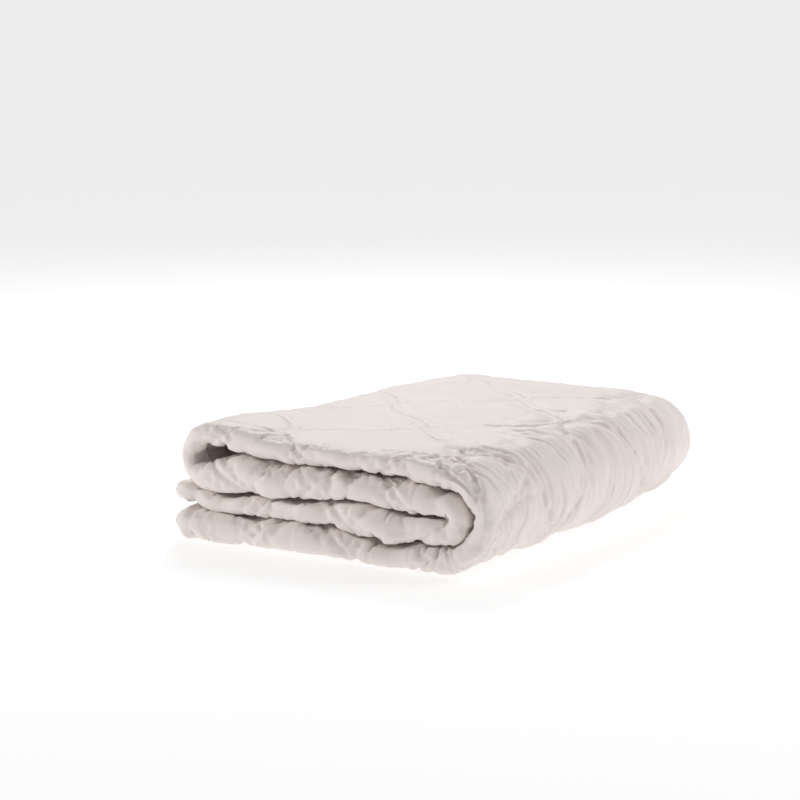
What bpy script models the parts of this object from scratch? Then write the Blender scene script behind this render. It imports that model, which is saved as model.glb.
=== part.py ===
"""A single-size quilted futon, folded once across its width and then in quarters along its length.

One long path in the XZ plane is the fold path: it runs right along the bottom layer, round the big outer
fold, left along the top layer, round the loop on the left, right along the third layer, round the inner
fold, and left again along the second layer. Every piece is laid out flat first, in distance s along that
path and distance v across the quilt, and then placed on it. v is 0 at the fold across the width, which is
the front of the stack. w is the height above the middle of the quilt, positive towards the outer face.
"""

import bisect
import math

import bmesh
import bpy
from mathutils import Vector
from mathutils.geometry import delaunay_2d_cdt

# The flat quilt, in metres.
FLAT_LENGTH = 2.10
FLAT_WIDTH = 1.50
QUILT_THICKNESS = 0.0182
TICKING = 0.0008
FIT_GAP = 0.0003
SAME_POINT = 0.0001

# How it is folded.
BACK_TO_BACK_GAP = 0.0022
LAYER_GAP = 0.0020
LOOP_VOID = 0.0110
LOOP_INSET = 0.062
LOOP_RISE_RUN = 0.14

# Its quilting: wavy rows, each the mirror of the next, that nearly meet in pointed tips. The cells
# between them are crowned where the quilt lies level, and each crown is a level diamond.
ROW_COUNT = 9
ROW_SIDE_MARGIN = 0.150
ROW_TIP_GAP = 0.012
WAVE_LENGTH = 0.300
WAVE_START = 0.072
CROWN_LENGTH = 0.18
CROWN_WIDTH = 0.14
FACE_VALLEY = 0.0030
BACK_VALLEY = 0.0024
VALLEY_REACH = 0.022
THREAD_RADIUS = 0.0004
THREAD_GAP = 0.0005
ROW_END_MARGIN = 0.028

# Its edge, where the two tickings are sewn together.
EDGE_ROLL = 0.028
BATT_MARGIN = 0.010
EDGE_HALF_OPENING = 0.0009
SEAM_MARGIN = 0.004
CLOSING_LENGTH = 0.30
CLOSING_START = 0.22
SEAM_END_GAP = 0.002

# How finely the folds are faceted.
OUTER_FOLD_STEPS = 8
LOOP_FOLD_STEPS = 6
INNER_FOLD_STEPS = 5
RISE_STEPS = 2
FRONT_FOLD_STEPS = 4
ROW_STEP = 0.100

HALF_QUILT = QUILT_THICKNESS / 2
FRONT_RADIUS = HALF_QUILT + BACK_TO_BACK_GAP / 2
HALF_LAYER = FRONT_RADIUS + HALF_QUILT
LAYER_PITCH = 2 * HALF_LAYER + LAYER_GAP
HALF_WIDTH = FLAT_WIDTH / 2
ROW_PITCH = (FLAT_WIDTH - 2 * ROW_SIDE_MARGIN) / (ROW_COUNT - 1)
FRONT_ARC = FRONT_RADIUS * math.pi / 2
DEPTH = HALF_LAYER + HALF_WIDTH - FRONT_ARC

COTTON = (0.80, 0.745, 0.715)
FIBRE = (0.83, 0.79, 0.70)
THREAD = (0.86, 0.81, 0.78)


def clear_scene():
    for obj in list(bpy.data.objects):
        bpy.data.objects.remove(obj)


def material(name, colour, roughness):
    made = bpy.data.materials.new(name)
    made.use_nodes = True
    shader = made.node_tree.nodes["Principled BSDF"]
    shader.inputs["Base Color"].default_value = (*colour, 1.0)
    shader.inputs["Roughness"].default_value = roughness
    shader.inputs["Metallic"].default_value = 0.0
    return made


class Run:
    """A level stretch of the fold path, which may rise by the end."""

    def __init__(self, x, z, heading, length, rise=0.0, rise_run=0.0):
        self.x, self.z, self.heading, self.length = x, z, heading, length
        self.rise, self.rise_run = rise, rise_run
        starts = [0.0]
        if rise:
            first = length - rise_run
            starts += [first + rise_run * i / RISE_STEPS for i in range(RISE_STEPS)]
        self.stations = starts

    def at(self, s):
        """Point and heading angle at distance s along the run."""
        share = 0.0
        if self.rise:
            share = max(0.0, (s - self.length + self.rise_run) / self.rise_run)
        slope = 0.0
        if share:
            slope = 6 * share * (1 - share) * self.rise / self.rise_run
        height = self.rise * share * share * (3 - 2 * share)
        angle = math.atan(slope) * self.heading
        if self.heading < 0:
            angle += math.pi
        return self.x + self.heading * s, self.z + height, angle


class Bend:
    """A round fold of half a turn. turn is +1 anticlockwise, seen from the front, or -1 clockwise."""

    def __init__(self, x, z, radius, turn, start_angle, steps):
        self.x, self.z, self.radius, self.turn = x, z, radius, turn
        self.start_angle = start_angle
        self.length = math.pi * radius
        self.stations = [self.length * i / steps for i in range(steps)]

    def at(self, s):
        angle = self.start_angle + self.turn * s / self.radius
        x = self.x + self.radius * math.cos(angle)
        z = self.z + self.radius * math.sin(angle)
        return x, z, angle + self.turn * math.pi / 2


def fold_path():
    """The sections of the fold path, from the free end of the bottom layer to that of the second."""
    heights = [HALF_LAYER + LAYER_PITCH * i for i in range(4)]
    middle = (heights[0] + heights[3]) / 2
    outer_radius = (heights[3] - heights[0]) / 2
    inner_radius = (heights[2] - heights[1]) / 2
    loop_radius = (heights[3] + LOOP_VOID - heights[2]) / 2
    bends = math.pi * (outer_radius + inner_radius + loop_radius)
    long_run = (FLAT_LENGTH - bends + 2 * LOOP_INSET) / 4
    short_run = long_run - LOOP_INSET
    right_end = outer_radius + HALF_LAYER
    left_x = -(long_run + right_end) / 2
    fold_x = left_x + long_run
    loop_x = fold_x - short_run
    return [
        Run(left_x, heights[0], 1, long_run),
        Bend(fold_x, middle, outer_radius, 1, -math.pi / 2, OUTER_FOLD_STEPS),
        Run(fold_x, heights[3], -1, short_run, LOOP_VOID, LOOP_RISE_RUN),
        Bend(loop_x, heights[2] + loop_radius, loop_radius, 1, math.pi / 2, LOOP_FOLD_STEPS),
        Run(loop_x, heights[2], 1, short_run),
        Bend(fold_x, middle, inner_radius, -1, math.pi / 2, INNER_FOLD_STEPS),
        Run(fold_x, heights[1], -1, long_run),
    ]


PATH = fold_path()
PATH_LENGTH = sum(section.length for section in PATH)


def smooth_path(s):
    """Point on the fold path at distance s, and the direction of its outer side."""
    for section in PATH:
        if s <= section.length or section is PATH[-1]:
            x, z, angle = section.at(s)
            return Vector((x, 0, z)), Vector((math.sin(angle), 0, -math.cos(angle)))
        s -= section.length


def stations():
    """The distances along the path where every piece has a crease line, the edge's included."""
    found = [BATT_MARGIN, EDGE_ROLL, PATH_LENGTH - EDGE_ROLL, PATH_LENGTH - BATT_MARGIN, PATH_LENGTH]
    start = 0.0
    for section in PATH:
        found += [start + s for s in section.stations]
        start += section.length
    return sorted(found)


CREASES = stations()


def on_path(s):
    """Point and outer side at distance s, straight between the crease lines, so that every layer is too."""
    i = min(max(bisect.bisect_right(CREASES, s), 1), len(CREASES) - 1)
    a, b = CREASES[i - 1], CREASES[i]
    point_a, outward_a = smooth_path(a)
    point_b, outward_b = smooth_path(b)
    share = (s - a) / (b - a)
    return point_a.lerp(point_b, share), outward_a.lerp(outward_b, share)


def front_fold(v):
    """How far a point at v is to the outer side and to the front, as shares of its radius."""
    quarter = math.pi / 2
    step = 2 * quarter / FRONT_FOLD_STEPS
    turned = quarter + max(-quarter, min(quarter, v / FRONT_RADIUS))
    low = math.floor(turned / step) * step
    share = (turned - low) / step
    side = -math.cos(low) * (1 - share) - math.cos(low + step) * share
    forward = math.sin(low) * (1 - share) + math.sin(low + step) * share
    return side, forward


def cross_lines():
    """The distances across the quilt with a crease line: the edges and the front fold."""
    edges = [HALF_WIDTH, HALF_WIDTH - BATT_MARGIN, HALF_WIDTH - EDGE_ROLL]
    fold = [FRONT_ARC * (2 * i / FRONT_FOLD_STEPS - 1) for i in range(FRONT_FOLD_STEPS + 1)]
    return sorted([-v for v in edges] + fold + edges)


def wave(s):
    """A wave between -1 and 1 with pointed tips, steep near them and flatter midway."""
    phase = ((s - WAVE_START) / WAVE_LENGTH) % 1.0
    ramp = 1 - 4 * abs(phase - 0.5)
    return ramp * (0.55 + 0.45 * ramp * ramp)


def row_v(row, s):
    """Where a quilting row runs across the quilt, at distance s along it."""
    middle = (row - (ROW_COUNT - 1) / 2) * ROW_PITCH
    reach = (ROW_PITCH - ROW_TIP_GAP) / 2
    side = 1 if row % 2 else -1
    return middle + side * reach * wave(s)


def row_samples():
    """The distances along the path where the quilting rows have a point, crease lines and tips included."""
    first, last = ROW_END_MARGIN, PATH_LENGTH - ROW_END_MARGIN
    fixed = {first, last} | {s for s in CREASES if first < s < last}
    tips = int(PATH_LENGTH / WAVE_LENGTH * 2) + 1
    fixed |= {WAVE_START + WAVE_LENGTH * i / 2 for i in range(-1, tips)}
    fixed = sorted(s for s in fixed if first <= s <= last)
    found = []
    for a, b in zip(fixed, fixed[1:]):
        if b - a < FIT_GAP:
            continue
        count = max(1, math.ceil((b - a) / ROW_STEP))
        found += [a + (b - a) * i / count for i in range(count)]
    return found + [last]


def crowns():
    """The corners, as (s, v), of the level crown of each cell that lies on one level run."""
    side_limit = HALF_WIDTH - EDGE_ROLL
    found = []
    for strip in range(ROW_COUNT + 1):
        middle = (strip - ROW_COUNT / 2) * ROW_PITCH
        reach = min(CROWN_WIDTH / 2, side_limit - abs(middle))
        centre = WAVE_START + WAVE_LENGTH * (strip % 2) / 2
        while centre < PATH_LENGTH:
            low, high = centre - CROWN_LENGTH / 2, centre + CROWN_LENGTH / 2
            creased = any(low <= s <= high for s in CREASES)
            if low > EDGE_ROLL and high < PATH_LENGTH - EDGE_ROLL and not creased:
                sides = [(centre, middle - reach), (high, middle), (centre, middle + reach)]
                found.append([(low, middle), *sides])
            centre += WAVE_LENGTH
    return found


def flat_layout():
    """The flat quilt as triangles in (s, v), with every crease line and quilting row along edges.

    It also gives each row as a list of its points' indices, in order.
    """
    points, edges = [], []
    for s in CREASES:
        row = [(s, v) for v in cross_lines()]
        edges += [(len(points) + i, len(points) + i + 1) for i in range(len(row) - 1)]
        points += row
    across = len(cross_lines())
    edges += [(i, i + across) for i in range(len(points) - across)]
    row_edges = []
    for row in range(ROW_COUNT):
        line = [(s, row_v(row, s)) for s in ROW_POINTS]
        first = len(edges)
        edges += [(len(points) + i, len(points) + i + 1) for i in range(len(line) - 1)]
        row_edges.append(range(first, len(edges)))
        points += line
    for corners in crowns():
        edges += [(len(points) + i, len(points) + (i + 1) % 4) for i in range(4)]
        points += corners
    made = delaunay_2d_cdt([Vector(p) for p in points], edges, [], 1, SAME_POINT)
    layout, made_edges, triangles, _, edge_sources, _ = made
    rows = []
    for sources in row_edges:
        used = {
            i
            for edge, came_from in zip(made_edges, edge_sources)
            if any(source in sources for source in came_from)
            for i in edge
        }
        rows.append(sorted(used, key=lambda i: layout[i].x))
    return [tuple(p) for p in layout], [tuple(t) for t in triangles], rows


ROW_POINTS = row_samples()


def sewn_v(row, s):
    """Where a row's thread lies at distance s: straight between the row's points."""
    i = min(bisect.bisect_right(ROW_POINTS, s), len(ROW_POINTS) - 1)
    a, b = ROW_POINTS[i - 1], ROW_POINTS[i]
    share = (s - a) / (b - a)
    return row_v(row, a) * (1 - share) + row_v(row, b) * share


def valley(s, v):
    """1 on a quilting row, falling to 0 at the valley's reach from it."""
    if min(s, PATH_LENGTH - s) < ROW_END_MARGIN - SAME_POINT:
        return 0.0
    near = min(abs(v - sewn_v(row, s)) for row in range(ROW_COUNT))
    share = max(0.0, 1 - near / VALLEY_REACH)
    return share * share * (3 - 2 * share)


def roll(s, v):
    """How full the quilt is: 0 at its sewn edge, 1 from the edge roll inwards."""
    margin = min(s, PATH_LENGTH - s, HALF_WIDTH - abs(v))
    share = 1 - min(max(margin / EDGE_ROLL, 0.0), 1.0)
    return math.sqrt(1 - share * share)


def face_height(s, v, below=0.0):
    """Height of the outer ticking's outer face, or of what lies some way below it."""
    edge = EDGE_HALF_OPENING + TICKING
    full = edge + (HALF_QUILT - edge) * roll(s, v)
    return full - FACE_VALLEY * valley(s, v) - below


def back_height(s, v, above=0.0):
    """Height of the inner ticking's outer face, or of what lies some way above it."""
    edge = EDGE_HALF_OPENING + TICKING
    full = edge + (HALF_QUILT - edge) * roll(s, v)
    return BACK_VALLEY * valley(s, v) - full + above


def placed(s, v, w):
    """The point of the folded quilt that is at (s, v, w) on the flat one."""
    centre, outward = on_path(s)
    radius = FRONT_RADIUS + w
    side, forward = front_fold(v)
    past_fold = max(0.0, abs(v) - FRONT_ARC)
    front = HALF_LAYER - DEPTH / 2
    y = front - radius * forward + past_fold
    return centre + outward * radius * side + Vector((0, y, 0))


def add_solid(name, points, faces, colour_material, smooth=False):
    """A closed mesh as an object, with its faces pointing out."""
    mesh = bpy.data.meshes.new(name)
    mesh.from_pydata(points, [], faces)
    shape = bmesh.new()
    shape.from_mesh(mesh)
    bmesh.ops.recalc_face_normals(shape, faces=shape.faces)
    if shape.calc_volume(signed=True) < 0:
        bmesh.ops.reverse_faces(shape, faces=shape.faces)
    shape.to_mesh(mesh)
    shape.free()
    mesh.materials.append(colour_material)
    obj = bpy.data.objects.new(name, mesh)
    bpy.context.scene.collection.objects.link(obj)
    if smooth:
        mesh.shade_smooth()
    return obj


def add_layer(name, layout, triangles, top, bottom, colour_material):
    """One layer of the quilt: the triangles at two heights, joined round their rim."""
    used = sorted({i for t in triangles for i in t})
    index = {old: new for new, old in enumerate(used)}
    count = len(used)
    points = [placed(*layout[i], top(*layout[i])) for i in used]
    points += [placed(*layout[i], bottom(*layout[i])) for i in used]
    upper = [tuple(index[i] for i in t) for t in triangles]
    lower = [tuple(i + count for i in reversed(t)) for t in upper]
    sides = {(t[i], t[(i + 1) % 3]) for t in upper for i in range(3)}
    rim = [(b, a, a + count, b + count) for a, b in sorted(sides) if (b, a) not in sides]
    return add_solid(name, points, upper + lower + rim, colour_material, smooth=True)


def add_thread(name, line, colour_material):
    """A thread of three flat sides along a line of (s, v, w) points, with closed ends."""
    centres = [placed(*p) for p in line]
    ways = [(b - a).normalized() for a, b in zip(centres, centres[1:])]
    ways = [ways[0], *ways, ways[-1]]
    points = []
    for i, (s, v, w) in enumerate(line):
        along = (ways[i] + ways[i + 1]).normalized()
        away = placed(s, v, w + THREAD_RADIUS) - centres[i]
        side = along.cross(away).normalized() * THREAD_RADIUS
        up = side.cross(along).normalized() * THREAD_RADIUS
        for turn in range(3):
            angle = math.radians(90 + 120 * turn)
            points.append(centres[i] + side * math.cos(angle) + up * math.sin(angle))
    faces = []
    for i in range(len(line) - 1):
        a = 3 * i
        faces += [(a + k, a + (k + 1) % 3, a + 3 + (k + 1) % 3, a + 3 + k) for k in range(3)]
    faces += [(2, 1, 0), tuple(range(len(points) - 3, len(points)))]
    return add_solid(name, points, faces, colour_material)


def edge_line():
    """The line of the edge seam round the quilt as (s, v), from one side of the turning gap to the other."""
    last, side = PATH_LENGTH - SEAM_MARGIN, HALF_WIDTH - SEAM_MARGIN
    along = [s for s in CREASES if SEAM_MARGIN < s < last]
    across = [v for v in cross_lines() if -side < v < side]
    opening = CLOSING_START + CLOSING_LENGTH
    line = [(last, opening + SEAM_END_GAP)] + [(last, v) for v in across if v > opening]
    line += [(last, side)] + [(s, side) for s in reversed(along)]
    line += [(SEAM_MARGIN, side)] + [(SEAM_MARGIN, v) for v in reversed(across)]
    line += [(SEAM_MARGIN, -side)] + [(s, -side) for s in along]
    line += [(last, -side)] + [(last, v) for v in across if v < CLOSING_START]
    return line + [(last, CLOSING_START - SEAM_END_GAP)]


def make_tickings(layout, triangles, cotton):
    add_layer(
        "outer_ticking", layout, triangles,
        face_height, lambda s, v: face_height(s, v, TICKING), cotton,
    )
    add_layer(
        "inner_ticking", layout, triangles,
        lambda s, v: back_height(s, v, TICKING), back_height, cotton,
    )


def make_batting(layout, triangles, fibre):
    """The loose fibre between the tickings, cut a little smaller than them."""
    def inside(i):
        s, v = layout[i]
        margin = min(s, PATH_LENGTH - s, HALF_WIDTH - abs(v))
        return margin > BATT_MARGIN - SAME_POINT

    filled = [t for t in triangles if all(inside(i) for i in t)]
    skin = TICKING + FIT_GAP
    add_layer(
        "batting", layout, filled,
        lambda s, v: face_height(s, v, skin), lambda s, v: back_height(s, v, skin), fibre,
    )


def make_quilting(layout, rows, thread):
    """Each row's needle thread on the outer ticking and bobbin thread on the inner one, in the valleys."""
    lift = THREAD_RADIUS + THREAD_GAP
    for number, row in enumerate(rows, 1):
        line = [layout[i] for i in row]
        needle = [(s, v, face_height(s, v, -lift)) for s, v in line]
        bobbin = [(s, v, back_height(s, v, -lift)) for s, v in line]
        add_thread(f"needle_thread_{number}", needle, thread)
        add_thread(f"bobbin_thread_{number}", bobbin, thread)


def make_edge_seams(thread):
    """The machine-sewn edge seam, and the hand-sewn one that closes the gap it was turned through."""
    add_thread("edge_seam_thread", [(s, v, 0.0) for s, v in edge_line()], thread)
    last = PATH_LENGTH - SEAM_MARGIN
    ends = [CLOSING_START, CLOSING_START + CLOSING_LENGTH]
    add_thread("closing_seam_thread", [(last, v, 0.0) for v in ends], thread)


def build():
    clear_scene()
    cotton = material("cotton_ticking", COTTON, 0.85)
    fibre = material("fibre_batting", FIBRE, 0.95)
    thread = material("quilting_thread", THREAD, 0.6)
    layout, triangles, rows = flat_layout()
    make_tickings(layout, triangles, cotton)
    make_batting(layout, triangles, fibre)
    make_quilting(layout, rows, thread)
    make_edge_seams(thread)


build()
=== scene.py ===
import math

import bpy
import numpy as np
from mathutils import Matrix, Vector


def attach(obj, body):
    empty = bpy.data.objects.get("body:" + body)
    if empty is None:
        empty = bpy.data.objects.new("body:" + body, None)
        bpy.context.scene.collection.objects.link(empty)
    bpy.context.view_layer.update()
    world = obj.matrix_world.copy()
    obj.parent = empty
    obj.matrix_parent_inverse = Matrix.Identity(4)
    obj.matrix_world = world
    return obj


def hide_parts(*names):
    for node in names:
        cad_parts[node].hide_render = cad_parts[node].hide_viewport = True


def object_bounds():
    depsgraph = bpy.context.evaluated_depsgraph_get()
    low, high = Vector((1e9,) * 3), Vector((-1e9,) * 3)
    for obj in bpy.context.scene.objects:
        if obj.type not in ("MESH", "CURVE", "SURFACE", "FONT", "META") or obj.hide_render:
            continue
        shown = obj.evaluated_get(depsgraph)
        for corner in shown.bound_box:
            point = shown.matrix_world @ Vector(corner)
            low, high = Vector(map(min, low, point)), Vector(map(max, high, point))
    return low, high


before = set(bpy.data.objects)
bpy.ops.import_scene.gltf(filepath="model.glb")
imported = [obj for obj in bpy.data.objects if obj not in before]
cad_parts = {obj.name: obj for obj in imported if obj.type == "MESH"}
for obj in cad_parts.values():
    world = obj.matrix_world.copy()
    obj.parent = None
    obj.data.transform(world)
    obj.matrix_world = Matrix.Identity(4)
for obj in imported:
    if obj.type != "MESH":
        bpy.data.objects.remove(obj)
cad_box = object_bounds()


# The camera stands in front of the stack's right corner, a little above it, with a long lens, so the
# front fold runs away to the left and the big outer fold runs away to the right.
camera_spot = Vector((2.146, -3.639, 0.941))
camera_azimuth, camera_elevation = math.radians(31.78), math.radians(10.22)
bpy.ops.object.camera_add(
    location=camera_spot, rotation=(math.pi / 2 - camera_elevation, 0, camera_azimuth)
)
camera = bpy.context.object
camera.name = "camera"
camera.data.lens = 124.6
camera.data.clip_end = 500
bpy.context.scene.camera = camera


# The studio: a pale floor in front of a white background. One soft lamp stands behind and above, so its
# light grazes the top, and two more stand at the left and the right. The floor glows a little, as a lit
# white sweep does.
bpy.ops.mesh.primitive_plane_add(size=400, location=(0, 0, -0.0005))
floor = bpy.context.object
floor.name = "floor"
floor_paint = bpy.data.materials.new("floor_paint")
floor_paint.use_nodes = True
floor_shader = floor_paint.node_tree.nodes["Principled BSDF"]
floor_shader.inputs["Base Color"].default_value = (0.55, 0.55, 0.55, 1)
floor_shader.inputs["Roughness"].default_value = 0.9
floor_shader.inputs["Specular IOR Level"].default_value = 0.1
floor_shader.inputs["Emission Color"].default_value = (1, 1, 1, 1)
floor_shader.inputs["Emission Strength"].default_value = 0.60
floor.data.materials.append(floor_paint)

world = bpy.data.worlds.new("studio")
world.use_nodes = True
world_nodes, world_links = world.node_tree.nodes, world.node_tree.links
ambient = world_nodes["Background"]
ambient.inputs["Color"].default_value = (1.0, 0.99, 0.98, 1)
ambient.inputs["Strength"].default_value = 0.44
backdrop = world_nodes.new("ShaderNodeBackground")
backdrop.inputs["Color"].default_value = (1, 1, 1, 1)
seen_straight = world_nodes.new("ShaderNodeLightPath")
either = world_nodes.new("ShaderNodeMixShader")
world_links.new(seen_straight.outputs["Is Camera Ray"], either.inputs["Fac"])
world_links.new(ambient.outputs["Background"], either.inputs[1])
world_links.new(backdrop.outputs["Background"], either.inputs[2])
world_links.new(either.outputs["Shader"], world_nodes["World Output"].inputs["Surface"])
bpy.context.scene.world = world
bpy.context.scene.view_settings.view_transform = "Standard"


def soft_lamp(name, spot, aim, size, watts, colour):
    bpy.ops.object.light_add(type="AREA", location=spot)
    lamp = bpy.context.object
    lamp.name = name
    lamp.data.shape = "SQUARE"
    lamp.data.size = size
    lamp.data.energy = watts
    lamp.data.color = colour
    lamp.rotation_euler = (Vector(aim) - Vector(spot)).to_track_quat("-Z", "Y").to_euler()


soft_lamp("back_lamp", (-1.2, 1.6, 1.9), (0, 0, 0.1), 0.8, 25, (0.99, 1.0, 1.02))
soft_lamp("left_lamp", (-2.3, -1.3, 0.8), (0, 0, 0.08), 0.6, 19, (1.0, 0.99, 0.97))
soft_lamp("right_lamp", (2.0, 1.1, 1.7), (0, 0, 0.08), 0.9, 20, (1.0, 0.99, 0.98))


# The cover: two panels of undyed cotton sateen, 1.50 by 2.10 m, sewn together round the edge with the
# filling between them. It is folded once across its width, which makes the front fold, and then in
# quarters along its length. Each panel starts as a flat grid and is folded up point by point.
flat_length, flat_width = 2.10, 1.50
half_width = flat_width / 2
front_y = cad_box[0][1]

# the fold path, seen from the front: (x, z, half the thickness of the doubled layer)
bottom_run = [
    (-0.275, 0.0280, 0.0150), (-0.256, 0.0262, 0.0240), (-0.194, 0.0235, 0.0228), (-0.158, 0.0222, 0.0215),
    (-0.095, 0.0245, 0.0237), (0.000, 0.0243, 0.0236), (0.051, 0.0183, 0.0176), (0.103, 0.0158, 0.0151),
    (0.148, 0.0205, 0.0198), (0.178, 0.0205, 0.0192),
]
top_run = [
    (0.185, 0.1445, 0.0200), (0.154, 0.1475, 0.0190), (0.125, 0.1505, 0.0166), (0.078, 0.1503, 0.0165),
    (0.000, 0.1495, 0.0166), (-0.095, 0.1505, 0.0178), (-0.155, 0.1575, 0.0190), (-0.206, 0.1625, 0.0185),
]
loop_bend = [
    (-0.241, 0.1525, 0.0150), (-0.256, 0.1290, 0.0090), (-0.250, 0.1090, 0.0095), (-0.234, 0.1010, 0.0160),
]
third_run = [
    (-0.206, 0.1015, 0.0235), (-0.155, 0.1075, 0.0275), (-0.095, 0.1048, 0.0262), (-0.051, 0.1068, 0.0252),
    (0.000, 0.1090, 0.0222), (0.051, 0.1100, 0.0203), (0.103, 0.1088, 0.0228), (0.133, 0.1065, 0.0252),
    (0.158, 0.1035, 0.0222), (0.180, 0.1008, 0.0188),
]
second_run = [
    (0.180, 0.0612, 0.0186), (0.150, 0.0605, 0.0196), (0.127, 0.0583, 0.0208), (0.103, 0.0580, 0.0258),
    (0.078, 0.0620, 0.0270), (0.051, 0.0626, 0.0256), (0.000, 0.0670, 0.0180), (-0.051, 0.0643, 0.0154),
    (-0.095, 0.0627, 0.0138), (-0.158, 0.0610, 0.0162), (-0.194, 0.0602, 0.0134), (-0.220, 0.0640, 0.0130),
    (-0.250, 0.0705, 0.0140), (-0.278, 0.0755, 0.0130),
]
bend_x, bend_z = 0.191, 0.0818
outer_bend = [
    (math.radians(a), r) for a, r in [(-62, 0.0575), (-32, 0.0590), (0, 0.0612), (30, 0.0625), (60, 0.0625)]
]
inner_bend = [(math.radians(a), 0.0200) for a in (60, 0, -60)]


def bend_points(spokes, half):
    """Path points round the middle of the big fold, from angles and radii."""
    return [(bend_x + r * math.cos(a), bend_z + r * math.sin(a), half) for a, r in spokes]


# the same path deep inside the stack, where the layers lie even
level_half = 0.0190
levels = {"bottom": 0.0195, "second": 0.0605, "third": 0.1010, "top": 0.1440}


def evened(run, level):
    """The same run lying level, with its thin free end kept thin."""
    halves = [
        min(half + 0.006, level_half) if i in (0, len(run) - 1) and abs(x) > 0.26 else level_half
        for i, (x, _, half) in enumerate(run)
    ]
    return [(x, levels[level], half) for (x, _, _), half in zip(run, halves)]


front_path = np.array(
    bottom_run + bend_points(outer_bend, 0.0192) + top_run + loop_bend
    + third_run + bend_points(inner_bend, 0.0188) + second_run
)
even_loop = [
    (-0.238, 0.1400, 0.0170), (-0.249, 0.1290, 0.0165), (-0.249, 0.1150, 0.0165), (-0.238, 0.1050, 0.0170),
]
even_path = np.array(
    evened(bottom_run, "bottom") + bend_points(outer_bend, 0.0192) + evened(top_run, "top") + even_loop
    + evened(third_run, "third") + bend_points(inner_bend, 0.0188) + evened(second_run, "second")
)


def path_lengths(path):
    """The distance along a path to each of its points."""
    steps = np.hypot(*np.diff(path[:, :2], axis=0).T)
    return np.concatenate([[0], np.cumsum(steps)])


knots = path_lengths(even_path)
knots *= flat_length / knots[-1]


def along(path, s):
    """Smooth values of a path's columns at distances s, and their slopes."""
    slopes = np.gradient(path, knots, axis=0)
    i = np.clip(np.searchsorted(knots, s, side="right") - 1, 0, len(knots) - 2)
    gap = (knots[i + 1] - knots[i])[:, None]
    t = ((s - knots[i])[:, None]) / gap
    a, b, p, q = path[i], path[i + 1], slopes[i] * gap, slopes[i + 1] * gap
    value = a + p * t + (3 * (b - a) - 2 * p - q) * t**2 + (2 * (a - b) + p + q) * t**3
    slope = (p + 2 * (3 * (b - a) - 2 * p - q) * t + 3 * (2 * (a - b) + p + q) * t**2) / gap
    return value, slope


def smooth(t):
    t = np.clip(t, 0, 1)
    return t * t * (3 - 2 * t)


def wave_noise(points, seed, count=7):
    """Gentle repeatable noise from -1 to 1 on any number of coordinates: a sum of tilted waves."""
    draw = np.random.default_rng(seed)
    total = np.zeros(len(points))
    for _ in range(count):
        way = draw.normal(size=points.shape[1])
        total += np.sin(points @ way * 2.2 + draw.uniform(0, 2 * math.pi))
    return total / math.sqrt(count)


# quilting rows, as sewn on the flat quilt: wavy, each the mirror of the next, with pointed tips
row_count, row_pitch, row_tip_gap = 9, 0.150, 0.012
wave_length, wave_start = 0.300, 0.072


def row_v(row, s):
    """How far from the middle of the flat quilt a row lies at distances s along it."""
    phase = ((s - wave_start) / wave_length) % 1.0
    ramp = 1 - 4 * np.abs(phase - 0.5)
    swing = ramp * (0.55 + 0.45 * ramp**2) * (row_pitch - row_tip_gap) / 2
    return (row - (row_count - 1) / 2) * row_pitch + (swing if row % 2 else -swing)


def row_distance(s, v):
    """Distance across the flat quilt to the nearest quilting row."""
    nearest = np.full(len(s), 1.0)
    step = 0.002
    for row in range(row_count):
        lean = (row_v(row, s + step) - row_v(row, s - step)) / (2 * step)
        nearest = np.minimum(nearest, np.abs(v - row_v(row, s)) / np.sqrt(1 + lean**2))
    return nearest


edge_roll = 0.032  # how far in from the edge the filling reaches its full thickness
mid_gap = 0.0010  # half the gap between the two plies of a doubled layer
front_inset, front_flatness = 0.0195, 0.97
edge_wander = 0.0055
back_droop, right_droop, right_corner_lift = 0.075, 0.055, 0.006
right_pull_in, left_pull_in = 0.052, 0.024


def folded(s, v, w):
    """Points of the folded quilt. s runs along it, v across it from the front fold, and w through it,
    from -1 on the inner panel to 1 on the outer one."""
    front, front_slope = along(front_path, s)
    even, even_slope = along(even_path, s)
    deep = smooth((np.abs(v) - 0.03) / 0.30)[:, None]
    centre = front * (1 - deep) + even * deep
    slope = front_slope * (1 - deep) + even_slope * deep
    tangent = slope[:, :2] / np.hypot(slope[:, 0], slope[:, 1])[:, None]
    outward = np.stack([tangent[:, 1], -tangent[:, 0]], axis=1)
    half = centre[:, 2]
    margin = np.minimum(np.minimum(s, flat_length - s), half_width - np.abs(v))
    share = 1 - np.clip(margin / edge_roll, 0, 1)
    full = np.sqrt(np.clip(1 - share**2, 0, 1))
    sub = (half - mid_gap) / 2
    middle = mid_gap + sub
    puffed = w * sub * (0.06 + 0.94 * full)
    radius = middle + puffed
    arc = middle * math.pi / 2
    angle = np.clip(v / middle, -math.pi / 2, math.pi / 2)
    past = np.maximum(0, np.abs(v) - arc)
    side = radius * np.sin(angle)
    y = front_y + front_inset - radius * front_flatness * np.cos(angle) + past
    wander = edge_wander * wave_noise(np.stack([s * 6, np.sign(v) * 0.6], axis=1), 3) - 0.004
    y += wander * np.clip(past / 0.6, 0, 1)
    x = centre[:, 0] + outward[:, 0] * side
    z = centre[:, 1] + outward[:, 1] * side
    back = np.clip((y - 0.04) / 0.33, 0, 1) ** 2
    z = z * (1 - (back_droop + right_droop * smooth((x - 0.12) / 0.08)) * back)
    z = z + right_corner_lift * back * smooth((x - 0.10) / 0.15)
    x = x - right_pull_in * back * smooth((x - 0.02) / 0.22)
    x = x + left_pull_in * smooth((y + 0.32) / 0.45) * smooth((-x - 0.08) / 0.15)
    return np.stack([x, y, z], axis=1)


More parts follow.
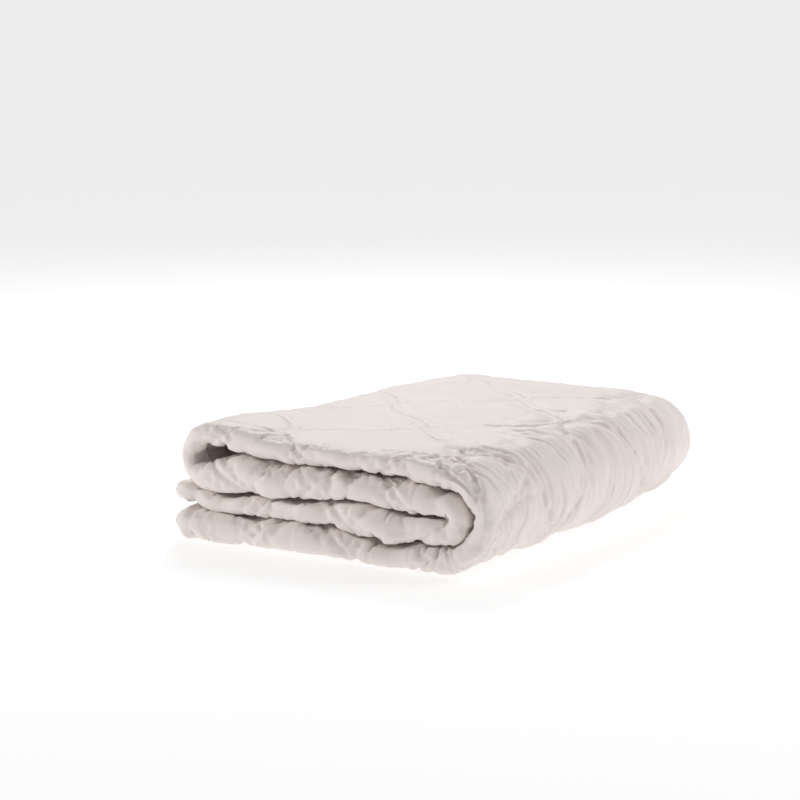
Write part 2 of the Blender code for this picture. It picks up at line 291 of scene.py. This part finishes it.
def spread(edges, steps):
    """A run of values with the given edges and the given number of equal steps between each two."""
    parts = [np.linspace(a, b, n, endpoint=False) for a, b, n in zip(edges, edges[1:], steps)]
    return np.concatenate([*parts, [edges[-1]]])


def deselect_all():
    """Nothing stays selected, because the solids come in selected."""
    for obj in list(bpy.context.selected_objects):
        obj.select_set(False)


def place(panel, points):
    """Moves a panel's points to the given places."""
    panel.data.vertices.foreach_set("co", points.astype(np.float32).ravel())
    panel.data.update()


def grid_sheet(name, rows, columns):
    """A flat grid as a piece, with each point's row and column."""
    deselect_all()
    bpy.ops.mesh.primitive_grid_add(x_subdivisions=rows - 1, y_subdivisions=columns - 1, size=2)
    sheet = bpy.context.object
    sheet.name = name
    points = points_of(sheet.data)
    row = np.rint((points[:, 0] + 1) / 2 * (rows - 1)).astype(int)
    column = np.rint((points[:, 1] + 1) / 2 * (columns - 1)).astype(int)
    return sheet, row, column


def points_of(mesh):
    """A mesh's points as rows of three numbers."""
    points = np.zeros(len(mesh.vertices) * 3)
    mesh.vertices.foreach_get("co", points)
    return points.reshape(-1, 3)


# The outer panel settles as cloth: it is cut a little larger than the folded shape, so it ripples and
# puffs up between the sewn rows and over the fold, with the filling's pressure behind it.
loose_s = spread([0, 0.03, flat_length - 0.03, flat_length], [3, 300, 3])
loose_v = spread([-half_width, -0.10, 0.10, 0.69, half_width], [24, 30, 84, 8])

# the outer face runs from the free end under the stack, round the big fold and over the top to the loop
loop_end = 1.16
bend_middle = 0.56


def on_bend(s):
    """1 on the big outer fold, falling to 0 past its two ends."""
    return smooth((s - 0.40) / 0.06) * (1 - smooth((s - 0.70) / 0.10))


def quilting_dip(s, v):
    """How far the sewn rows pull the panels in: sharply at the thread, gently for a few centimetres."""
    inside_seam = np.minimum(np.minimum(s, flat_length - s), half_width - np.abs(v))
    quilted = smooth((inside_seam - 0.020) / 0.020)
    near = row_distance(s, v)
    taut = (v > 0.05) & (s < loop_end)
    quilted = quilted * np.where(taut, 0.40 + 1.1 * on_bend(s), 0.9)
    at_thread, beside_thread = np.exp(-((near / 0.0040) ** 2)), np.exp(-((near / 0.026) ** 2))
    return (0.30 * at_thread + 0.32 * beside_thread) * quilted


cloth_ease = 0.06  # how much larger than the folded shape the panel is cut
sheet_hold = 0.02  # how firmly the filling holds the panel away from the rows
settle_cap = 0.0035  # the furthest a point may move
settle_frames = 12


def settled_moves():
    """How far each point of a loose grid over the outer panel moves as it settles."""
    sheet, row, column = grid_sheet("settling", len(loose_s), len(loose_v))
    s, v = loose_s[row], loose_v[column]
    near = row_distance(s, v)
    inside_seam = np.minimum(np.minimum(s, flat_length - s), half_width - np.abs(v))
    start = folded(s, v, 1 - quilting_dip(s, v))
    place(sheet, start)
    sewn = np.clip(1 - near / 0.006, 0, 1)
    hidden = smooth((-v - 0.035) / 0.02) + (1 - smooth((inside_seam - 0.002) / 0.02))
    held = np.round(np.clip(np.maximum(sheet_hold, np.maximum(sewn * 0.8, hidden)), 0, 1), 2)
    group = sheet.vertex_groups.new(name="held")
    for level in np.unique(held):
        group.add(np.flatnonzero(held == level).tolist(), float(level), "REPLACE")
    cloth = sheet.modifiers.new("settling", "CLOTH")
    cloth.settings.quality = 3
    cloth.settings.mass = 0.3
    cloth.settings.tension_stiffness = 15
    cloth.settings.compression_stiffness = 15
    cloth.settings.shear_stiffness = 4
    cloth.settings.bending_stiffness = 0.2
    cloth.settings.tension_damping = 5
    cloth.settings.compression_damping = 5
    cloth.settings.air_damping = 2
    cloth.settings.vertex_group_mass = "held"
    cloth.settings.pin_stiffness = 1
    cloth.settings.use_pressure = True
    cloth.settings.uniform_pressure_force = 2.5
    cloth.settings.effector_weights.gravity = 0
    cloth.settings.shrink_min = -cloth_ease
    cloth.collision_settings.use_collision = False
    cloth.point_cache.frame_start, cloth.point_cache.frame_end = 1, settle_frames
    for number in range(1, settle_frames + 1):
        bpy.context.scene.frame_set(number)
    settled = sheet.evaluated_get(bpy.context.evaluated_depsgraph_get())
    moved = points_of(settled.data) - start
    bpy.context.scene.frame_set(1)
    bpy.data.objects.remove(sheet)
    length = np.linalg.norm(moved, axis=1)
    moved *= (settle_cap * np.tanh(length / settle_cap) / np.maximum(length, 1e-9))[:, None]
    table = np.zeros((len(loose_s), len(loose_v), 3))
    table[row, column] = moved
    return table



def table_at(table, table_s, table_v, s, v):
    """Values of a table over (s, v), taken smoothly between its points."""
    i = np.clip(np.searchsorted(table_s, s, side="right") - 1, 0, len(table_s) - 2)
    j = np.clip(np.searchsorted(table_v, v, side="right") - 1, 0, len(table_v) - 2)
    p = ((s - table_s[i]) / (table_s[i + 1] - table_s[i]))[:, None]
    q = ((v - table_v[j]) / (table_v[j + 1] - table_v[j]))[:, None]
    low = table[i, j] * (1 - q) + table[i, j + 1] * q
    high = table[i + 1, j] * (1 - q) + table[i + 1, j + 1] * q
    return low * (1 - p) + high * p


def lattice_noise(a, b, seed):
    """Repeatable noise from -1 to 1, smooth between the whole numbers of a and b."""
    values = np.random.default_rng(seed).uniform(-1, 1, (128, 128))
    i, j = np.floor(a).astype(int), np.floor(b).astype(int)
    p, q = smooth(a - i), smooth(b - j)
    low = values[i % 128, j % 128] * (1 - q) + values[i % 128, (j + 1) % 128] * q
    high = values[(i + 1) % 128, j % 128] * (1 - q) + values[(i + 1) % 128, (j + 1) % 128] * q
    return low * (1 - p) + high * p


def creased(a, b, seed):
    """Rounded ridges from 0 to 1 with sharp creases between them, one or two to each whole number."""
    a = a + 0.45 * lattice_noise(a * 0.6 + 9.3, b * 0.6, seed + 50)
    b = b + 0.45 * lattice_noise(a * 0.6, b * 0.6 + 4.7, seed + 51)
    return np.clip(np.abs(lattice_noise(a, b, seed)) * 1.6, 0, 1) ** 0.7


def sharp_creases(a, b, seed, width=0.14):
    """Narrow creases from 0 to 1 that start and end, about one to each whole number of a."""
    a = a + 0.5 * lattice_noise(a * 0.5 + 3.1, b * 0.7, seed + 60)
    present = smooth(0.45 + 1.3 * lattice_noise(a * 0.4, b * 0.8 + 7.7, seed + 61))
    return np.exp(-((lattice_noise(a, b, seed) / width) ** 2)) * present


def wrinkles(s, v, x):
    """How far the cloth stands out, in metres, from its fine wrinkles and puckers."""
    near = row_distance(s, v)
    apart = np.abs(v)
    outside = (v > 0) & (s < loop_end)
    right = smooth((x - 0.03) / 0.16) * outside
    strained = right * smooth((v - 0.01) / 0.04) * (1 - smooth((v - 0.60) / 0.12))
    line_sway = 1.6 * lattice_noise(s / 0.09, v / 0.05, 8)
    lines = creased(s / 0.20 + v / 0.9, v / 0.0135 + line_sway, 1) - 0.5
    fine_lines = creased(s / 0.11 + v / 0.5, v / 0.0080 + s / 0.07, 2) - 0.5
    loop_side = smooth((-x - 0.19) / 0.04) * smooth((v - 0.03) / 0.05)
    loop_side = loop_side * (1 - smooth((v - 0.62) / 0.10))
    pull = (0.0042 * strained + 0.0030 * loop_side) * (lines + 0.45 * fine_lines)
    from_corner = np.hypot(s - bend_middle, v + 0.01)
    fan_angle = np.arctan2(s - bend_middle, v + 0.01)
    fan_reach = smooth((from_corner - 0.02) / 0.02) * (1 - smooth((from_corner - 0.09) / 0.12)) * outside
    fan = -0.0055 * fan_reach * sharp_creases(fan_angle / 0.22, from_corner / 0.10, 12, 0.20)
    face = np.exp(-((np.maximum(apart - 0.024, 0) / 0.026) ** 2))
    shoulder = smooth((apart - 0.002) / 0.009)
    lean = 0.8 * lattice_noise(s / 0.05, np.sign(v) * 3.3, 11)
    lumps = creased(s / 0.042 + v * lean / 0.030, v / 0.070, 3) - 0.6
    long_pinches = sharp_creases(s / 0.017 + v * lean / 0.012, v / 0.040 + 0.3 * s / 0.05, 13)
    short_pinches = sharp_creases(s / 0.0085 - v * lean / 0.010, v / 0.022, 14, 0.18)
    pinch_share = 1 - 0.55 * outside * smooth((v - 0.010) / 0.012)
    long_pinches, short_pinches = long_pinches * pinch_share, short_pinches * pinch_share
    pinched = (0.0018 + 0.0040 * shoulder) * long_pinches + 0.0024 * shoulder * short_pinches
    ruffles = face * (0.0026 * lumps - pinched)
    top = outside * (1 - right) * smooth((v - 0.02) / 0.05)
    beside_rows = np.exp(-((near / 0.015) ** 2))
    puckers = (0.0018 - 0.0010 * top) * beside_rows * (creased(s / 0.011 + v / 0.03, near / 0.05, 5) - 0.5)
    soft_folds = 0.0014 * top * (creased(s / 0.075 + v / 0.3, v / 0.16, 6) - 0.5)
    lengthwise = 0.0008 * top * (creased(s / 0.12, v / 0.020, 7) - 0.5)
    inside_seam = np.minimum(np.minimum(s, flat_length - s), half_width - apart)
    hem = 0.0024 * np.exp(-(inside_seam / 0.026)) * (creased(s / 0.016 + v / 0.016, s / 0.2, 9) - 0.5)
    return pull + fan + ruffles + puckers + soft_folds + lengthwise + hem


row_s = spread([0, 0.03, flat_length - 0.03, flat_length], [8, 660, 8])
outer_v = spread(
    [-half_width, -0.70, -0.10, -0.045, 0.045, 0.10, 0.69, half_width],
    [8, 30, 16, 72, 22, 200, 16],
)
inner_v = spread([half_width, 0.70, 0.03, -0.03, -0.70, -half_width], [4, 14, 8, 14, 4])
outer_count = len(outer_v)
column_v = np.concatenate([outer_v, inner_v[1:]])
cover, cover_row, cover_column = grid_sheet("cover", len(row_s), len(column_v))
cover_s, cover_v = row_s[cover_row], column_v[cover_column]
on_outer = cover_column < outer_count

cover_w = np.where(on_outer, 1 - quilting_dip(cover_s, cover_v), -1)
at_rim = (cover_column == 0) | (cover_column == outer_count - 1) | (cover_column == len(column_v) - 1)
cover_w[at_rim] = 0
cover_points = folded(cover_s, cover_v, cover_w)
moves = settled_moves()
calm = smooth((cover_v - 0.012) / 0.03) * (cover_s < loop_end)
calm = calm * (1 - 0.45 * smooth((cover_points[:, 0] - 0.06) / 0.16))
settling = table_at(moves, loose_s, loose_v, cover_s[on_outer], cover_v[on_outer])
cover_points[on_outer] += settling * (1 - 0.72 * calm[on_outer])[:, None]


def as_table(points):
    """The cover's points laid out by row and column."""
    table = np.zeros((len(row_s), len(column_v), 3))
    table[cover_row, cover_column] = points
    return table


def outward_ways(points):
    """The direction away from the filling at each point of the cover's grid."""
    table = as_table(points)
    ways = np.cross(np.gradient(table, axis=0), np.gradient(table, axis=1))
    ways /= np.maximum(np.linalg.norm(ways, axis=2, keepdims=True), 1e-12)
    return ways[cover_row, cover_column]


ways = outward_ways(cover_points)
stand = wrinkles(cover_s, cover_v, cover_points[:, 0]) * on_outer * ~at_rim
thicker = folded(cover_s, cover_v, cover_w + 0.1) - folded(cover_s, cover_v, cover_w)
sign = np.sign(np.mean(np.sum(ways * thicker, axis=1)))
cover_points += ways * (sign * stand)[:, None]
lowest_cloth = 0.0010
cover_points[:, 2] = np.maximum(cover_points[:, 2], lowest_cloth)
place(cover, cover_points)

# the cloth's own map is the flat panel, in metres along and across it
cover_map = cover.data.uv_layers.active or cover.data.uv_layers.new(name="cloth")
cloth_map_name = cover_map.name
corners = np.zeros(len(cover.data.loops), dtype=int)
cover.data.loops.foreach_get("vertex_index", corners)
cover_map.data.foreach_set("uv", np.stack([cover_s[corners], cover_v[corners]], axis=1).ravel())

weld_gap = 0.00001


def weld_and_close(piece):
    """Joins a grid's two long sides into a tube, and closes its ends."""
    deselect_all()
    piece.select_set(True)
    bpy.context.view_layer.objects.active = piece
    bpy.ops.object.mode_set(mode="EDIT")
    bpy.ops.mesh.select_all(action="SELECT")
    bpy.ops.mesh.remove_doubles(threshold=weld_gap)
    bpy.ops.mesh.select_all(action="DESELECT")
    bpy.ops.mesh.select_mode(type="EDGE")
    bpy.ops.mesh.select_non_manifold(
        extend=False, use_wire=False, use_multi_face=False, use_non_contiguous=False, use_verts=False
    )
    bpy.ops.mesh.edge_face_add()
    bpy.ops.mesh.quads_convert_to_tris()
    bpy.ops.mesh.select_all(action="SELECT")
    bpy.ops.mesh.normals_make_consistent(inside=False)
    bpy.ops.object.mode_set(mode="OBJECT")
    bpy.ops.object.shade_smooth()


# the two panels meet in the sewn edge, and the short ends are closed
weld_and_close(cover)


def paint(name, roughness):
    """A material and what is needed to add nodes to it."""
    made = bpy.data.materials.new(name)
    made.use_nodes = True
    shader = made.node_tree.nodes["Principled BSDF"]
    shader.inputs["Roughness"].default_value = roughness

    def node(kind, **settings):
        added = made.node_tree.nodes.new(kind)
        for key, value in settings.items():
            if key in added.inputs:
                added.inputs[key].default_value = value
            else:
                setattr(added, key, value)
        return added

    return made, shader, node, made.node_tree.links.new


# undyed sateen: a close weave with a soft shine, faint slubs, and tiny crinkles left by washing
sateen, shader, node, link = paint("cotton_sateen", 0.56)
shader.inputs["Sheen Weight"].default_value = 0.20
shader.inputs["Sheen Roughness"].default_value = 0.4
cloth_map = node("ShaderNodeUVMap", uv_map=cloth_map_name)
patches = node("ShaderNodeTexNoise", Scale=9.0, Detail=3.0)
slub_map = node("ShaderNodeMapping", Scale=(14.0, 420.0, 1.0))
slubs = node("ShaderNodeTexNoise", Scale=1.0, Detail=2.0)
tone = node("ShaderNodeMix", data_type="RGBA")
tone.inputs["A"].default_value = (0.800, 0.722, 0.686, 1)
tone.inputs["B"].default_value = (0.850, 0.780, 0.748, 1)
blend = node("ShaderNodeMath", operation="MULTIPLY_ADD")
blend.inputs[1].default_value = 0.45
link(cloth_map.outputs["UV"], patches.inputs["Vector"])
link(cloth_map.outputs["UV"], slub_map.inputs["Vector"])
link(slub_map.outputs["Vector"], slubs.inputs["Vector"])
link(slubs.outputs["Fac"], blend.inputs[0])
link(patches.outputs["Fac"], blend.inputs[2])
link(blend.outputs["Value"], tone.inputs["Factor"])
link(tone.outputs["Result"], shader.inputs["Base Color"])
warp = node("ShaderNodeTexWave", bands_direction="Y", Scale=620.0)
weft = node("ShaderNodeTexWave", bands_direction="X", Scale=260.0)
weave = node("ShaderNodeMath", operation="MULTIPLY")
crinkle = node("ShaderNodeTexNoise", Scale=190.0, Detail=4.0)
weave_bump = node("ShaderNodeBump", Strength=0.25, Distance=0.00008)
crinkle_bump = node("ShaderNodeBump", Strength=0.35, Distance=0.0006)
for texture in (warp, weft, crinkle):
    link(cloth_map.outputs["UV"], texture.inputs["Vector"])
link(warp.outputs["Fac"], weave.inputs[0])
link(weft.outputs["Fac"], weave.inputs[1])
link(weave.outputs["Value"], weave_bump.inputs["Height"])
link(crinkle.outputs["Fac"], crinkle_bump.inputs["Height"])
link(weave_bump.outputs["Normal"], crinkle_bump.inputs["Normal"])
link(crinkle_bump.outputs["Normal"], shader.inputs["Normal"])
cover.data.materials.append(sateen)
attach(cover, "root")
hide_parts("outer_ticking", "inner_ticking")


# The batting: a loose mat of cotton and wool fibre that fills the cover between the sewn rows. It is cut
# a finger's width smaller than the cover all round, and the rows hold it in place.
batting_margin = 0.010
fill_outer_count, fill_inner_count = 121, 61
fill_s = np.linspace(batting_margin, flat_length - batting_margin, 210)
fill_half = half_width - batting_margin
fill_v = np.concatenate([
    np.linspace(-fill_half, fill_half, fill_outer_count),
    np.linspace(fill_half, -fill_half, fill_inner_count)[1:],
])
batting, fill_row, fill_column = grid_sheet("fibre_batting_mat", len(fill_s), len(fill_v))
batting_s, batting_v = fill_s[fill_row], fill_v[fill_column]
on_outer_side = fill_column < fill_outer_count
fill_rim = (fill_column == 0) | (fill_column == fill_outer_count - 1) | (fill_column == len(fill_v) - 1)
squeezed = np.exp(-((row_distance(batting_s, batting_v) / 0.030) ** 2))
full_fill, inner_fill = 0.30, -0.6
fill_w = np.where(on_outer_side, full_fill - (0.25 + 0.45 * on_bend(batting_s)) * squeezed, inner_fill)
fill_w[fill_rim] = 0
fill_w -= 0.35 * np.exp(-((batting_v / 0.045) ** 2)) * (fill_w > -0.5)
place(batting, folded(batting_s, batting_v, fill_w))
weld_and_close(batting)

fibre, shader, node, link = paint("fibre_batting", 0.95)
place_of = node("ShaderNodeTexCoord")
fluff = node("ShaderNodeTexNoise", Scale=160.0, Detail=5.0)
fluff_tone = node("ShaderNodeMix", data_type="RGBA")
fluff_tone.inputs["A"].default_value = (0.76, 0.71, 0.61, 1)
fluff_tone.inputs["B"].default_value = (0.87, 0.83, 0.75, 1)
fluff_bump = node("ShaderNodeBump", Strength=0.6, Distance=0.002)
link(place_of.outputs["Object"], fluff.inputs["Vector"])
link(fluff.outputs["Fac"], fluff_tone.inputs["Factor"])
link(fluff.outputs["Fac"], fluff_bump.inputs["Height"])
link(fluff_tone.outputs["Result"], shader.inputs["Base Color"])
link(fluff_bump.outputs["Normal"], shader.inputs["Normal"])
batting.data.materials.append(fibre)
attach(batting, "root")
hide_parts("batting")


# The quilting: nine wavy rows of lockstitch. Each row has a needle thread that shows as a line of small
# stitches on the outer panel, and a bobbin thread that shows as the same line on the inner one.
thread_width, stitch_length, stitch_pitch, row_margin = 0.0007, 0.0038, 0.0046, 0.028
stitch_rise, stitch_sink = 0.00045, 0.00015
bpy.ops.mesh.primitive_cylinder_add(
    vertices=5, radius=thread_width / 2, depth=stitch_length, rotation=(0, math.pi / 2, 0)
)
stitch = bpy.context.object
bpy.ops.object.transform_apply(location=True, rotation=True, scale=True)
bpy.ops.object.mode_set(mode="EDIT")
bpy.ops.mesh.select_all(action="SELECT")
bpy.ops.mesh.bisect(plane_co=(0, 0, 0), plane_no=(1, 0, 0))
bpy.ops.mesh.select_all(action="SELECT")
bpy.ops.mesh.normals_make_consistent(inside=False)
bpy.ops.object.mode_set(mode="OBJECT")
stitch_points = points_of(stitch.data)
stitch_points[:, 2] += stitch_rise * (1 - (stitch_points[:, 0] / (stitch_length / 2)) ** 2) - stitch_sink
stitch_faces = [tuple(face.vertices) for face in stitch.data.polygons]
bpy.data.objects.remove(stitch)

cotton_thread, shader, node, link = paint("quilting_thread", 0.5)
thread_place = node("ShaderNodeTexCoord")
ply = node(
    "ShaderNodeTexWave", wave_type="BANDS", bands_direction="DIAGONAL", Scale=900.0, Distortion=1.5
)
ply_tone = node("ShaderNodeMix", data_type="RGBA")
ply_tone.inputs["A"].default_value = (0.78, 0.71, 0.67, 1)
ply_tone.inputs["B"].default_value = (0.88, 0.82, 0.78, 1)
ply_bump = node("ShaderNodeBump", Strength=0.5, Distance=0.0001)
link(thread_place.outputs["Object"], ply.inputs["Vector"])
link(ply.outputs["Fac"], ply_tone.inputs["Factor"])
link(ply.outputs["Fac"], ply_bump.inputs["Height"])
link(ply_tone.outputs["Result"], shader.inputs["Base Color"])
link(ply_bump.outputs["Normal"], shader.inputs["Normal"])

cover_table = as_table(cover_points)
way_table = as_table(outward_ways(cover_points) * sign)
outer_columns, inner_columns = slice(0, outer_count), slice(None, outer_count - 2, -1)
panels = {
    "needle": (cover_table[:, outer_columns], way_table[:, outer_columns], outer_v),
    "bobbin": (cover_table[:, inner_columns], way_table[:, inner_columns], inner_v[::-1]),
}


def on_panel(side, s, v):
    """Points of the finished cover at (s, v), and the directions away from the filling."""
    table, ways, table_v = panels[side]
    away = table_at(ways, row_s, table_v, s, v)
    return table_at(table, row_s, table_v, s, v), away / np.linalg.norm(away, axis=1, keepdims=True)


def sew_row(name, side, row):
    """A row of stitches along a quilting row, as one piece: copies of the one stitch."""
    count = int((flat_length - 2 * row_margin) / stitch_pitch)
    s = row_margin + stitch_pitch * (np.arange(count) + 0.5)
    spot, away = on_panel(side, s, row_v(row, s))
    reach = 0.0012
    ahead, _ = on_panel(side, s + reach, row_v(row, s + reach))
    behind, _ = on_panel(side, s - reach, row_v(row, s - reach))
    along_row = ahead - behind
    along_row -= away * np.sum(along_row * away, axis=1, keepdims=True)
    along_row /= np.linalg.norm(along_row, axis=1, keepdims=True)
    beside = np.cross(away, along_row)
    points = (
        spot[:, None] + stitch_points[None, :, :1] * along_row[:, None]
        + stitch_points[None, :, 1:2] * beside[:, None] + stitch_points[None, :, 2:] * away[:, None]
    )
    step = len(stitch_points)
    faces = [tuple(i + k * step for i in face) for k in range(count) for face in stitch_faces]
    mesh = bpy.data.meshes.new(name)
    mesh.from_pydata(points.reshape(-1, 3).tolist(), [], faces)
    piece = bpy.data.objects.new(name, mesh)
    bpy.context.collection.objects.link(piece)
    mesh.materials.append(cotton_thread)
    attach(piece, "root")
    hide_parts(f"{side}_thread_{row + 1}")


for row in range(row_count):
    sew_row(f"needle_stitches_{row + 1}", "needle", row)
    sew_row(f"bobbin_stitches_{row + 1}", "bobbin", row)


# The edge seam: the machine seam that joins the two panels, 4 mm inside the edge. The cover was sewn
# inside out and turned, so the seam lies between the panels. It stops at the gap it was turned through.
seam_margin, gap_start, gap_length = 0.004, 0.22, 0.30


def thread_piece(name, lines, radius, solid_name):
    """Threads along lines of points, as one piece of round tubes with closed ends."""
    curve = bpy.data.curves.new(name, "CURVE")
    curve.dimensions = "3D"
    curve.bevel_depth = radius
    curve.bevel_resolution = 1
    curve.use_fill_caps = True
    for line in lines:
        spline = curve.splines.new("POLY")
        spline.points.add(len(line) - 1)
        spline.points.foreach_set("co", np.column_stack([line, np.ones(len(line))]).ravel())
    piece = bpy.data.objects.new(name, curve)
    bpy.context.collection.objects.link(piece)
    deselect_all()
    piece.select_set(True)
    bpy.context.view_layer.objects.active = piece
    bpy.ops.object.convert(target="MESH")
    piece = bpy.context.object
    piece.data.materials.append(cotton_thread)
    bpy.ops.object.shade_smooth()
    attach(piece, "root")
    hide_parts(solid_name)


seam_last, seam_side = flat_length - seam_margin, half_width - seam_margin
corner_stops = [
    (seam_last, gap_start + gap_length), (seam_last, seam_side), (seam_margin, seam_side),
    (seam_margin, -seam_side), (seam_last, -seam_side), (seam_last, gap_start),
]
seam_line = []
for start, stop in zip(corner_stops, corner_stops[1:]):
    count = int(math.dist(start, stop) / 0.006)
    seam_line += [np.array(start) + (np.array(stop) - np.array(start)) * i / count for i in range(count)]
seam_line = np.array(seam_line + [np.array(corner_stops[-1])])
seam_points = folded(seam_line[:, 0], seam_line[:, 1], np.zeros(len(seam_line)))
thread_piece("edge_seam", [seam_points], 0.0004, "edge_seam_thread")


# The closing seam: slanting hand stitches over the edge at the free end of the second layer, where the
# filling was put in.
hand_pitch, hand_reach = 0.007, 0.0045
hand_v = gap_start + hand_pitch * (np.arange(int(gap_length / hand_pitch)) + 0.5)
hand_s = np.full(len(hand_v), flat_length - hand_reach)
top_spot, top_away = on_panel("needle", hand_s, hand_v)
under_spot, under_away = on_panel("bobbin", hand_s, hand_v + hand_pitch / 2)
rim_spot, _ = on_panel("needle", np.full(len(hand_v), flat_length), hand_v + hand_pitch / 4)
past_rim = rim_spot - (top_spot + under_spot) / 2
past_rim /= np.linalg.norm(past_rim, axis=1, keepdims=True)
hand_lines = np.stack([
    top_spot - top_away * 0.0006, top_spot + top_away * 0.0002 + past_rim * 0.0008,
    rim_spot + top_away * 0.0008, rim_spot + past_rim * 0.0006, rim_spot + under_away * 0.0008,
    under_spot + under_away * 0.0002 + past_rim * 0.0008, under_spot - under_away * 0.0006,
], axis=1)
thread_piece("closing_seam", list(hand_lines), 0.0003, "closing_seam_thread")
